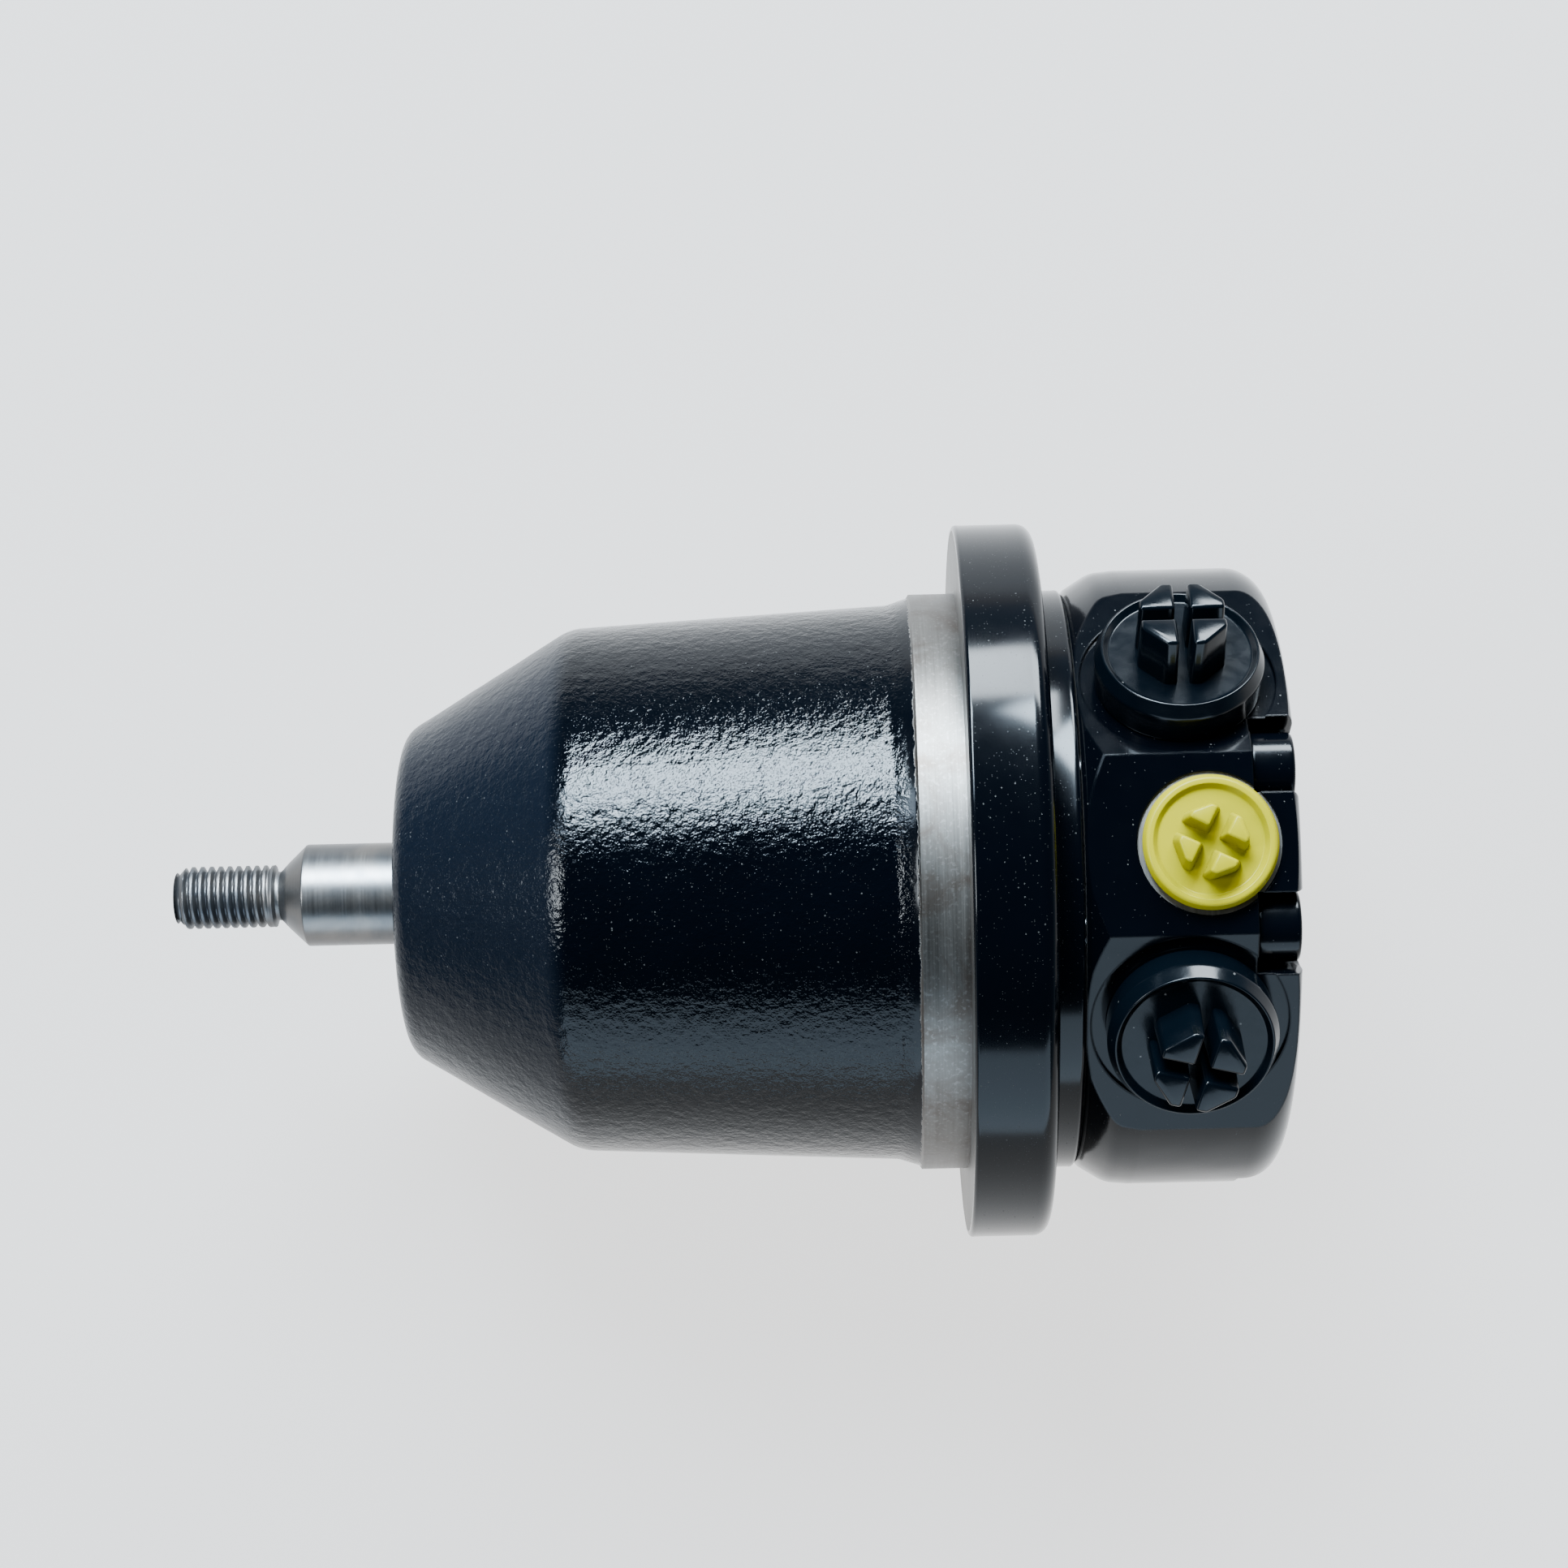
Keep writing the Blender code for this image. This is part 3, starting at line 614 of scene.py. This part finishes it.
# ---- port plate ----------------------------------------------------------------------------------------------
def port_plate():
    front = JOINT_X + GAP
    outer = [
        (SPIGOT_X, 19.0), (SPIGOT_X, CAVITY_R - GAP), (16.2, CAVITY_R - GAP), (16.2, 37.0), (18.8, 37.0),
        (18.8, CAVITY_R - GAP), (front, CAVITY_R - GAP), (front, STEP_R - 0.9), (front + 0.8, STEP_R),
        (front + 5.6, 58.2), (front + 10.0, COVER_R), (REAR_X, COVER_R), (REAR_X, 0.0), (46.0, 0.0), (46.0, 19.0),
    ]
    shape = fillet(outer, {1: 0.5, 8: 0.5, 9: 6.0, 10: 6.0, 11: 7.4}, 14)
    end = next(i for i, p in enumerate(shape) if p == (REAR_X, 0.0))
    shape = shape[end + 1:] + shape[:end + 1]
    obj = piece("port_plate_casting", lathe(shape, 240), COVER_PAINT)
    boolean(obj, bar((10, -60, PAD_Z), (80, 60, 80)))
    for sign in (1, -1):
        place = radial(sign * PORT_ANGLE, PORT_X)
        boolean(obj, bar((-30, -60, PORT_FACE), (40, 60, 80), place))
        boolean(obj, rod(PORT_SPOT_R, PORT_FACE - 0.8, 70, place, 128))
        boolean(obj, rod(9.0, 38.0, 60, place, 64))
        boolean(obj, rod(4.6, 25.0, 40.0, place, 32))
    place = radial(0.0, DRAIN_X)
    boolean(obj, rod(12.7, PAD_Z - 0.5, 70, place, 96))
    boolean(obj, rod(8.0, 41.0, 60, place, 48))
    boolean(obj, rod(2.6, 15.0, 43.0, place, 24))
    kidneys = turned_tool([(8.0, 22.0), (8.0, 29.0), (41.0, 29.0), (41.0, 22.0)], 96)
    boolean(kidneys, bar((0, -12.0, -40), (50, 12.0, 40)))
    boolean(obj, kidneys)
    for degrees in SCREW_ANGLES:
        place = parallel(degrees, SCREW_R)
        boolean(obj, rod(7.4, SCREW_SEAT_X, 70, place, 64))
        boolean(obj, bar((0, -7.38, SCREW_SEAT_X), (20, 7.38, 70), place))
        boolean(obj, rod(4.5, 10, 55, place, 32))
    bake(obj, 10)

    def choose(x, r, c, normal):
        drain = math.hypot(c.x - DRAIN_X, c.y)
        if drain < 12.8 and PAD_Z - 0.6 < c.z < PAD_Z - 0.05:
            return 1
        if x < JOINT_X + GAP + 0.05 and normal.x < 0.5 and r < STEP_R - 1.0:
            return 2
        if r < 40.0 and x < REAR_X - 1:
            return 2
        return 0

    by_face(obj, [COVER_PAINT, PILOT_METAL, BORE_METAL], choose)
    stands_for(obj, "port_plate", "casing")


# ---- screws and plugs ------------------------------------------------------------------------------------------
def cover_screws():
    outline = [
        (5.3, 0.0), (5.3, 3.6), (SCREW_SEAT_X + GAP, 3.6), (SCREW_SEAT_X + GAP, HEAD_R),
        (SCREW_SEAT_X + HEAD_L, HEAD_R), (SCREW_SEAT_X + HEAD_L, 0.0),
    ]
    outline = fillet(outline, {1: 0.6, 3: 0.25, 4: 0.8}, 5)
    for number, degrees in enumerate(SCREW_ANGLES, 1):
        place = parallel(degrees, SCREW_R)
        obj = piece(f"cap_screw_{number}", lathe(outline, 64, place), SCREW_PAINT)
        boolean(obj, rod(3.46, SCREW_SEAT_X + HEAD_L - 4.2, SCREW_SEAT_X + HEAD_L + 3, place, 6))
        boolean(obj, rod(3.9, SCREW_SEAT_X + HEAD_L - 0.35, SCREW_SEAT_X + HEAD_L + 0.2, place, 48, top=4.3))
        bake(obj, 30)
        by_face(obj, [SCREW_PAINT, BEARING_METAL], lambda x, r, c, n: 1 if x < SCREW_SEAT_X - 0.5 else 0)
        stands_for(obj, f"cover_screw_{number}", "casing")


def plug(name, node, place, material, stem_r, stem_low, seat, rim_r, rim, lip, lug_top, lug_r, width, taper,
         turn):
    """Moulded cap: ribbed stem, shallow cup whose lip is (rounding, land, depth), and four lugs parted by a cross."""
    rounding, land, depth = lip
    floor = rim - depth
    outline = [(stem_low, 0.0), (stem_low, stem_r - 1.2), (stem_low + 1.0, stem_r - 0.8)]
    edge = stem_low + 2.0
    while edge < seat - 2.0:
        outline += [(edge, stem_r - 0.8), (edge + 0.4, stem_r), (edge + 0.8, stem_r), (edge + 1.0, stem_r - 0.8)]
        edge += 2.0
    count = len(outline)
    outline += [
        (seat, stem_r - 0.8), (seat, rim_r - 0.3), (rim - rounding, rim_r), (rim, rim_r - rounding * 0.45),
        (rim, rim_r - rounding * 0.45 - land), (floor, rim_r - rounding * 0.45 - land - depth * 0.8), (floor, 0.0),
    ]
    radii = {count + 1: 0.35, count + 2: rounding * 0.6, count + 3: rounding * 0.6, count + 4: 0.35, count + 5: 0.5}
    obj = piece(name, lathe(fillet(outline, radii, 6), 128, place), material)
    for quarter in range(4):
        spin = place @ Matrix.Rotation(turn + quarter * math.pi / 2, 4, "Z")
        form = bmesh.new()
        gap, far = width / 2, lug_r * 0.93
        low = [(gap, gap), (far, gap), (far, far * 0.42), (far * 0.42, far), (gap, far)]
        middle = [sum(p[k] for p in low) / 5 for k in (0, 1)]
        top = [(middle[0] + (x - middle[0]) * taper, middle[1] + (y - middle[1]) * taper) for x, y in low]
        rings = []
        for shape, height in ((low, floor - 0.8), (top, lug_top)):
            rings.append([form.verts.new((x * MM, y * MM, height * MM)) for x, y in shape])
        form.faces.new(rings[0][::-1])
        form.faces.new(rings[1])
        for k in range(5):
            form.faces.new((rings[0][k], rings[0][(k + 1) % 5], rings[1][(k + 1) % 5], rings[1][k]))
        edges = [e for e in form.edges if max(v.co.z for v in e.verts) > floor * MM]
        bmesh.ops.bevel(form, geom=edges, offset=min(0.75, width * 0.3) * MM, segments=3, profile=0.5, affect="EDGES")
        boolean(obj, solid("lug", form, spin), "UNION")
    bake(obj, 40)
    by_face(obj, [material], lambda x, r, c, n: 0)
    stands_for(obj, node, "casing")


def plugs():
    for letter, sign, turn in (("a", 1, 0.0), ("b", -1, math.radians(-15))):
        plug(f"port_{letter}_cap", f"port_{letter}_plug", radial(sign * PORT_ANGLE, PORT_X), BLACK_PLASTIC,
             8.6, 42.0, PORT_FACE - 0.8 + GAP, 15.2, 62.0, (2.6, 0.35, 1.1), 71.0, 8.4, 2.1, 0.92, turn)
    plug("drain_cap", "drain_plug", radial(0.0, DRAIN_X), YELLOW_PLASTIC,
         7.6, 44.0, PAD_Z - 0.5 + GAP, 12.0, 58.0, (1.5, 1.1, 1.1), 62.0, 6.9, 1.7, 0.68, math.radians(-26.4))


# ---- shaft -----------------------------------------------------------------------------------------------------
def shaft():
    tip = -150.6
    start, stop = tip + 0.9, -132.0

    def relief(a, r, w):
        """Helical M12 thread, fading into the chamfer and the run-out."""
        if not (tip + 0.05 < a < -131.7) or r < 3:
            return 0.0, 0.0
        phase = ((a / THREAD_PITCH - w / (2 * math.pi)) % 1.0)
        tooth = max(0.0, min(1.0, (abs(phase - 0.5) * 2 - 0.10) / 0.62))
        depth = 1.05 * (1 - tooth)
        fade = max(0.0, min(1.0, (stop - a) / 0.8))
        limit = 6.0 - max(0.0, start + 1.0 - a) * 1.1
        radius = min(limit, 6.0 - depth * fade)
        return 0.0, radius - r

    outline = [(tip, 0.0), (tip, 4.6)]
    outline += [(tip + 0.1 + k * 0.125, 6.0) for k in range(148)]
    rest = [(-131.6, 6.0), (-131.2, 4.7), (-130.4, 4.7), (-128.7, 6.5), (-125.2, SHAFT_R), (-104.2, SHAFT_R),
            (-103.2, 12.5), (-93.5, 12.5), (-93.2, 14.0), (-76.2, 14.0), (-76.2, 16.0), (-70.0, 16.0), (-70.0, 13.0),
            (11.5, 13.0), (12.5, 12.0), (15.5, 12.0), (15.5, 9.0), (35.5, 9.0), (36.0, 8.5), (36.0, 0.0)]
    rest = fillet(rest, {1: 0.4, 2: 0.5, 3: 1.2, 4: 0.5, 6: 0.5, 10: 0.3, 11: 0.3}, 4)
    outline += [p for p in rest if p[0] > outline[-1][0] + 0.02]
    obj = piece("shaft_turned", lathe(outline, 96, relief=relief, smooth=50), SHAFT_METAL)
    by_face(obj, [SHAFT_METAL, THREAD_METAL], lambda x, r, c, n: 1 if x < -128.9 else 0)
    stands_for(obj, "drive_shaft", "rotor")


# ---- inner pieces ----------------------------------------------------------------------------------------------
def simple(name, node, body, outline, steps, material, radii=None, place=X_AXIS):
    shape = fillet(outline, radii, 4) if radii else outline
    return stands_for(piece(name, lathe(shape, steps, place), material), node, body)


def roller_set(name, node, body, low, high, pitch, roller_r, count):
    inner, outer = pitch - roller_r * 0.55, pitch + roller_r * 0.55
    obj = piece(name, lathe([(low, inner), (low, outer), (low + 1.4, outer), (low + 1.4, inner)], 96), BEARING_METAL)
    for number in range(count):
        boolean(obj, rod(roller_r, low + 0.9, high - 0.9, parallel(360.0 * number / count + 7.0, pitch), 32), "UNION")
    ring = turned_tool([(high - 1.4, inner), (high - 1.4, outer), (high, outer), (high, inner)], 96)
    boolean(obj, ring, "UNION")
    bake(obj, 35)
    by_face(obj, [BEARING_METAL, BRONZE], lambda x, r, c, n: 1 if (x < low + 0.89 or x > high - 0.89) else 0)
    stands_for(obj, node, body)


def bearings():
    low, high = BEARING_X[0] + GAP, BEARING_X[1] - GAP
    simple("front_outer_race", "front_bearing_outer_race", "casing",
           [(low, 22.3), (low, 25.7), (high, 25.7), (high, 22.3)], 96, BEARING_METAL, {0: 0.4, 1: 0.8, 2: 0.8, 3: 0.4})
    simple("front_inner_race", "front_bearing_inner_race", "rotor",
           [(low + 0.4, 14.3), (low + 0.4, 17.1), (high - 0.4, 17.1), (high - 0.4, 14.3)], 96, BEARING_METAL,
           {0: 0.6, 1: 0.3, 2: 0.3, 3: 0.6})
    roller_set("front_roller_set", "front_bearing_rollers", "front_rollers", low + 0.6, high - 0.6, 19.7, 2.1, 10)
    simple("rear_outer_race", "rear_bearing_outer_race", "casing",
           [(20.0, 15.6), (20.0, 18.7), (33.0, 18.7), (33.0, 15.6)], 96, BEARING_METAL, {0: 0.3, 1: 0.7, 2: 0.7, 3: 0.3})
    simple("rear_inner_race", "rear_bearing_inner_race", "rotor",
           [(20.3, 9.3), (20.3, 11.5), (32.7, 11.5), (32.7, 9.3)], 96, BEARING_METAL, {0: 0.5, 1: 0.3, 2: 0.3, 3: 0.5})
    roller_set("rear_roller_set", "rear_bearing_rollers", "rear_rollers", 20.6, 32.4, 13.55, 1.6, 8)


def seals():
    simple("lip_seal", "shaft_seal", "casing",
           [(-102.4, 12.8), (-102.4, 19.7), (-95.0, 19.7), (-95.0, 17.6), (-100.4, 17.6), (-100.4, 15.2), (-96.5, 14.6),
            (-97.2, 12.8), (-99.0, 13.3), (-100.8, 13.6)], 128, RUBBER, {1: 0.5, 2: 0.5, 5: 0.4, 6: 0.4})
    ring = piece("snap_ring", lathe([(-103.85, 16.5), (-103.85, 21.0), (-102.85, 21.0), (-102.85, 16.5)], 128), None)
    boolean(ring, bar((-110, -3.5, -30), (-95, 3.5, -10)))
    for side in (-1, 1):
        spot = Matrix.Translation((0, side * 5.6 * MM, -17.9 * MM)) @ X_AXIS
        boolean(ring, rod(0.9, -110, -95, spot, 24))
    bake(ring, 35)
    by_face(ring, [BEARING_METAL], lambda x, r, c, n: 0)
    stands_for(ring, "seal_retaining_ring", "casing")
    simple("o_ring", "joint_o_ring", "casing",
           [(17.5 + 1.12 * math.cos(math.pi * k / 8), 38.5 + 1.12 * math.sin(math.pi * k / 8)) for k in range(16)], 128,
           RUBBER)


def swash_plate():
    low = BEARING_X[1] + GAP
    obj = piece("swash_wedge", lathe([(low, 18.0), (low, CAVITY_R - 0.5), (-45.0, CAVITY_R - 0.5), (-45.0, 18.0)], 128), None)
    tilt = Matrix.Translation((SWASH_X * MM, 0, 0)) @ Matrix.Rotation(math.radians(SWASH_DEG), 4, "Y")
    boolean(obj, bar((0, -60, -60), (60, 60, 60), tilt))
    bake(obj, 30)
    by_face(obj, [IRON, BEARING_METAL], lambda x, r, c, n: 1 if n.x > 0.9 else 0)
    stands_for(obj, "swash_plate", "casing")


def cylinder_block():
    outline = fillet([(BLOCK_X[0], 17.4), (BLOCK_X[0], BLOCK_R), (BLOCK_X[1], BLOCK_R), (BLOCK_X[1], 13.4), (-6.0, 13.4),
                      (-6.0, 17.4)], {1: 1.2}, 4)
    obj = piece("barrel", lathe(outline, 144), None)
    for number in range(PISTONS):
        place = parallel(360.0 * number / PISTONS, PITCH_R)
        boolean(obj, rod(PISTON_R + 0.45, BLOCK_X[0] - 4, 3.0, place, 40))
        boolean(obj, rod(3.4, 0.0, 14.0, place, 24))
    bake(obj, 30)
    by_face(obj, [IRON], lambda x, r, c, n: 0)
    stands_for(obj, "cylinder_block", "rotor")


def pistons():
    ball_x, ball_r = -40.5, 4.0
    head = [(ball_x - ball_r * math.cos(math.radians(a)), ball_r * math.sin(math.radians(a))) for a in range(0, 139, 12)]
    head[0] = (ball_x - ball_r, 0.0)
    body = head + [(-35.6, 2.7), (-34.6, PISTON_R), (-26.0, PISTON_R), (-25.8, PISTON_R - 0.25), (-25.2, PISTON_R - 0.25),
                   (-25.0, PISTON_R), (-20.0, PISTON_R), (-19.8, PISTON_R - 0.25), (-19.2, PISTON_R - 0.25),
                   (-19.0, PISTON_R), (-5.4, PISTON_R), (-5.0, PISTON_R - 0.4), (-5.0, 0.0)]
    shoe = [(SOLE_X, 0.0), (SOLE_X, 2.4), (SOLE_X + 0.3, 2.6), (SOLE_X + 0.3, 4.6), (SOLE_X, 4.8), (SOLE_X, 7.5),
            (SOLE_X + 0.3, 7.8), (SOLE_X + 2.6, 7.8), (SOLE_X + 2.6, 6.0), (-39.4, 6.0), (-39.4, 4.5), (ball_x, 4.6),
            (ball_x - 3.2, 3.3), (ball_x - 4.4, 0.0)]
    for number in range(1, PISTONS + 1):
        place = parallel(360.0 * (number - 1) / PISTONS, PITCH_R)
        rider = f"piston_{number}_body"
        simple(f"piston_turned_{number}", f"piston_{number}", rider, body, 40, BEARING_METAL, None, place)
        simple(f"slipper_shoe_{number}", f"slipper_{number}", rider, shoe, 40, BRONZE, {9: 0.5}, place)


def hold_down():
    plate = piece("retainer", lathe([(-36.8, 17.9), (-36.8, 34.5), (-34.4, 34.5), (-34.4, 17.9)], 128), None)
    for number in range(PISTONS):
        boolean(plate, rod(6.7, -45, -25, parallel(360.0 * number / PISTONS, PITCH_R), 40))
    bake(plate, 30)
    by_face(plate, [IRON], lambda x, r, c, n: 0)
    stands_for(plate, "retaining_plate", "rotor")
    simple("guide_ball", "ball_guide", "rotor",
           [(-38.2, 13.4), (-38.2, 16.4), (-36.6, 17.2), (-35.2, 17.5), (-33.4, 17.2), (-31.0, 16.0), (-29.5, 13.4)], 96,
           BEARING_METAL, {2: 3.0, 3: 3.0, 4: 3.0})
    for label, low in (("front", -23.8), ("rear", -7.8)):
        simple(f"{label}_washer", f"spring_{label}_washer", "rotor",
               [(low, 13.4), (low, 17.1), (low + 1.5, 17.1), (low + 1.5, 13.4)], 96, BEARING_METAL,
               {0: 0.3, 1: 0.3, 2: 0.3, 3: 0.3})
    coil = bpy.data.curves.new("coil", "CURVE")
    coil.dimensions = "3D"
    coil.bevel_depth = 1.05 * MM
    coil.bevel_resolution = 4
    coil.use_fill_caps = True
    line = coil.splines.new("POLY")
    turns, each = 3, 48
    line.points.add(turns * each)
    for number in range(turns * each + 1):
        a = 2 * math.pi * number / each
        line.points[number].co = ((-20.8 + 11.5 * number / (turns * each)) * MM, 15.4 * MM * math.sin(a),
                                  15.4 * MM * math.cos(a), 1.0)
    spring = bpy.data.objects.new("coil_spring", coil)
    bpy.context.scene.collection.objects.link(spring)
    coil.materials.append(BEARING_METAL)
    stands_for(spring, "block_spring", "rotor")


def valve_plate():
    obj = piece("port_disc", lathe([(10.0, 14.0), (10.0, 35.5), (13.7, 35.5), (13.7, 14.0)], 144), None)
    kidneys = turned_tool([(8.0, 22.5), (8.0, 28.5), (16.0, 28.5), (16.0, 22.5)], 144)
    boolean(kidneys, bar((0, -12.5, -40), (50, 12.5, 40)))
    boolean(obj, kidneys)
    bake(obj, 30)
    by_face(obj, [BRONZE], lambda x, r, c, n: 0)
    stands_for(obj, "valve_plate", "casing")


housing()
port_plate()
cover_screws()
plugs()
shaft()
bearings()
seals()
swash_plate()
cylinder_block()
pistons()
hold_down()
valve_plate()
for tool in cutters:
    bpy.data.objects.remove(tool, do_unlink=True)


# ---- floor and light -------------------------------------------------------------------------------------------
def studio():
    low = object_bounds()[0][2]
    form = bmesh.new()
    bmesh.ops.create_grid(form, x_segments=2, y_segments=2, size=4.0)
    mesh = bpy.data.meshes.new("floor")
    form.to_mesh(mesh)
    form.free()
    floor = piece("floor", mesh, None)
    floor.location.z = low - 0.0005
    n = Nodes("floor")
    n.set(Base_Color=(0.05, 0.05, 0.05), Roughness=0.9)
    n.shader.inputs["Emission Color"].default_value = (1, 1, 1, 1)
    n.shader.inputs["Emission Strength"].default_value = 1.65
    mesh.materials.append(n.done())
    floor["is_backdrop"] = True

    def area(name, degrees, distance, across, size, radiance, colour=(1, 1, 1)):
        """Soft box that faces the part, tilted from the zenith towards +Y, running along X from across."""
        data = bpy.data.lights.new(name, "AREA")
        data.shape = "RECTANGLE"
        data.size, data.size_y = across[1] - across[0], size
        data.energy = radiance * math.pi * data.size * data.size_y
        data.color = colour
        obj = bpy.data.objects.new(name, data)
        bpy.context.scene.collection.objects.link(obj)
        a = math.radians(degrees)
        away = Vector((0.0, math.sin(a), math.cos(a)))
        x = Vector((1, 0, 0))
        spot = away * distance + x * (across[0] + across[1]) * 0.5
        obj.matrix_world = Matrix.Translation(spot) @ Matrix((x, away.cross(x).normalized(), away)).transposed().to_4x4()
        return obj

    area("window", 61.0, 1.2, (0.04, 0.66), 0.38, 105.0, (0.80, 0.91, 1.0))
    low_window = area("window_low", 40.6, 1.2, (-0.53, 0.14), 0.34, 190.0, (0.68, 0.85, 1.0))
    low_window.matrix_world = low_window.matrix_world @ Matrix.Rotation(math.radians(48), 4, "Z")
    area("window_sill", 27.0, 1.2, (-0.80, -0.09), 0.26, 34.0, (0.62, 0.80, 1.0))
    area("fill", -75.0, 1.3, (-0.9, 0.9), 0.72, 7.0, (0.62, 0.81, 1.0))
    card = area("side_card", -4.0, 1.0, (-0.14, 0.14), 0.3, 50.0, (0.86, 0.94, 1.0))
    card.matrix_world = Matrix.Rotation(math.radians(-42), 4, "Y") @ card.matrix_world

    world = bpy.data.worlds.new("studio")
    bpy.context.scene.world = world
    world.use_nodes = True
    tree = world.node_tree
    back = tree.nodes["Background"]
    coord = tree.nodes.new("ShaderNodeTexCoord")
    split = tree.nodes.new("ShaderNodeSeparateXYZ")
    ramp = tree.nodes.new("ShaderNodeValToRGB")
    lift = tree.nodes.new("ShaderNodeMath")
    lift.operation = "MULTIPLY_ADD"
    lift.inputs[1].default_value = 0.5
    lift.inputs[2].default_value = 0.5
    tree.links.new(coord.outputs["Generated"], split.inputs[0])
    tree.links.new(split.outputs["Z"], lift.inputs[0])
    tree.links.new(lift.outputs[0], ramp.inputs[0])
    tree.links.new(ramp.outputs[0], back.inputs["Color"])
    stops = [(0.0, (1.0, 1.0, 1.0)), (0.5, (0.60, 0.74, 0.90)), (0.56, (0.27, 0.39, 0.50)), (0.66, (0.07, 0.115, 0.17)),
             (0.85, (0.02, 0.03, 0.045)), (1.0, (0.014, 0.02, 0.03))]
    while len(ramp.color_ramp.elements) < len(stops):
        ramp.color_ramp.elements.new(0.5)
    for element, (spot, colour) in zip(ramp.color_ramp.elements, stops):
        element.position = spot
        element.color = (*colour, 1.0)
    back.inputs["Strength"].default_value = 1.4


studio()
